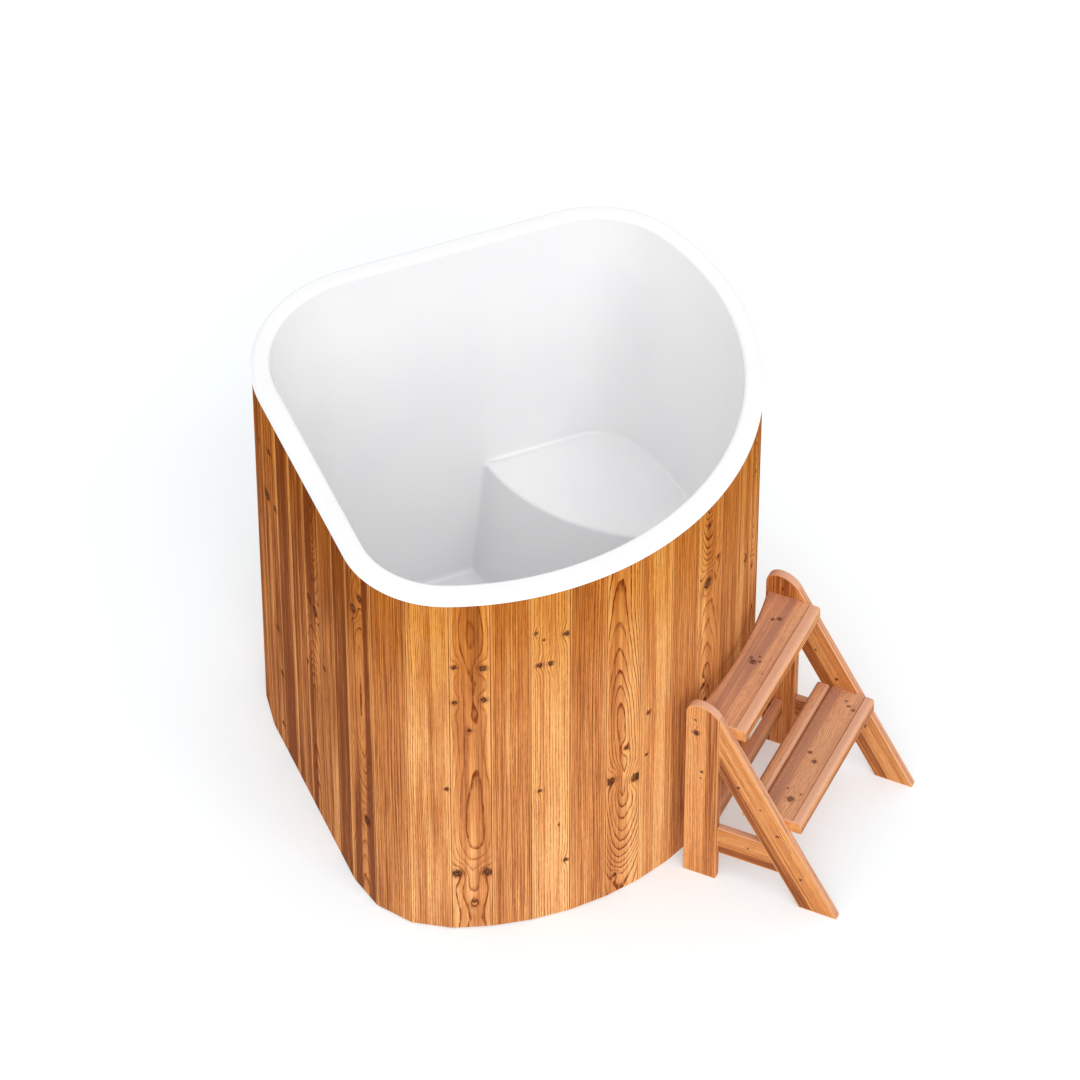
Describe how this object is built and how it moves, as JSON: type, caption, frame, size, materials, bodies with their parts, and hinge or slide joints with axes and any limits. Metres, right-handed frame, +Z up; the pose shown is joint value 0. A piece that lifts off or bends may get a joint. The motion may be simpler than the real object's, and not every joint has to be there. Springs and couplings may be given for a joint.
{
  "type": "corner bathing tub with step",
  "caption": "Corner bathing tub: a white moulded basin with a seat, clad in upright wooden boards, drained by a ball valve, with a free-standing wooden step.",
  "frame": {"origin": "on the floor under the centre of the curved front's arc, on the line that halves the room's corner; the middle runner rests there", "axes": "+Z up; +X from the room's corner to the curved front and the step; the seat is on the +Y side"},
  "size_m": [1.5196, 1.3186, 1.058],
  "materials": {
    "cladding_wood": "heat-treated softwood boards, oiled, orange brown with knots",
    "step_wood": "the same softwood, planed and oiled, pinkish brown",
    "carcass_wood": "planed pale softwood, bare",
    "plywood": "plain plywood, sealed",
    "dowel_wood": "hardwood dowel, bare",
    "basin_plastic": "white gel coat, glossy",
    "pipe_plastic": "light grey plastic, satin",
    "valve_seat_plastic": "white slippery plastic",
    "seal_rubber": "black rubber",
    "waste_steel": "brushed stainless steel",
    "screw_steel": "stainless steel",
    "stem_steel": "stainless steel",
    "valve_metal": "nickel-plated brass, satin",
    "ball_chrome": "polished chrome",
    "lever_paint": "red dipped coating"
  },
  "bodies": {
    "tub": {"left_bend_board_01": "cladding_wood", "left_bend_board_02": "cladding_wood", "left_bend_board_03": "cladding_wood", "front_board_01": "cladding_wood", "front_board_02": "cladding_wood", "front_board_03": "cladding_wood", "front_board_04": "cladding_wood", "front_board_05": "cladding_wood", "front_board_06": "cladding_wood", "front_board_07": "cladding_wood", "front_board_08": "cladding_wood", "front_board_09": "cladding_wood", "front_board_10": "cladding_wood", "front_board_11": "cladding_wood", "front_board_12": "cladding_wood", "front_board_13": "cladding_wood", "front_board_14": "cladding_wood", "front_board_15": "cladding_wood", "front_board_16": "cladding_wood", "front_board_17": "cladding_wood", "front_board_18": "cladding_wood", "left_wall_boards": "cladding_wood", "right_bend_boards": "cladding_wood", "right_wall_boards": "cladding_wood", "corner_boards": "cladding_wood", "top_hoop": "carcass_wood", "middle_hoop": "carcass_wood", "lower_hoop": "carcass_wood", "base_runners": "carcass_wood", "floor_battens": "carcass_wood", "seat_posts": "carcass_wood", "seat_rail": "carcass_wood", "base_panel": "plywood", "basin": "basin_plastic", "cladding_screws": "screw_steel", "waste_flange": "waste_steel", "waste_gasket": "seal_rubber", "wall_grommet": "seal_rubber", "waste_nut": "pipe_plastic", "waste_cup": "pipe_plastic", "drain_pipe": "pipe_plastic", "valve_body": "valve_metal", "hose_tail": "valve_metal", "valve_seats": "valve_seat_plastic"},
    "plug": {"drain_plug": "waste_steel"},
    "valve": {"valve_ball": "ball_chrome", "valve_stem": "stem_steel", "valve_lever": "lever_paint", "lever_nut": "stem_steel"},
    "step": {"step_post_left": "step_wood", "step_post_right": "step_wood", "step_leg_left": "step_wood", "step_leg_right": "step_wood", "step_side_rail_left": "step_wood", "step_side_rail_right": "step_wood", "step_rear_rail": "step_wood", "top_tread": "step_wood", "lower_tread": "step_wood", "tread_batten": "step_wood", "step_dowels": "dowel_wood"}
  },
  "joints": [
    {"name": "plug_lift", "type": "slide", "parent": "tub", "child": "plug", "axis": [0, 0, 1], "range_m": [0, 0.06]},
    {"name": "valve_turn", "type": "hinge", "parent": "tub", "child": "valve", "pos_m": [-0.31134, 0.30568, 0.092], "axis": [0, 0, 1], "range_deg": [0, 90]},
    {"name": "step_slide", "type": "slide", "parent": "tub", "child": "step", "axis": [0.9995, -0.0314, 0], "range_m": [0, 0.3]}
  ]
}
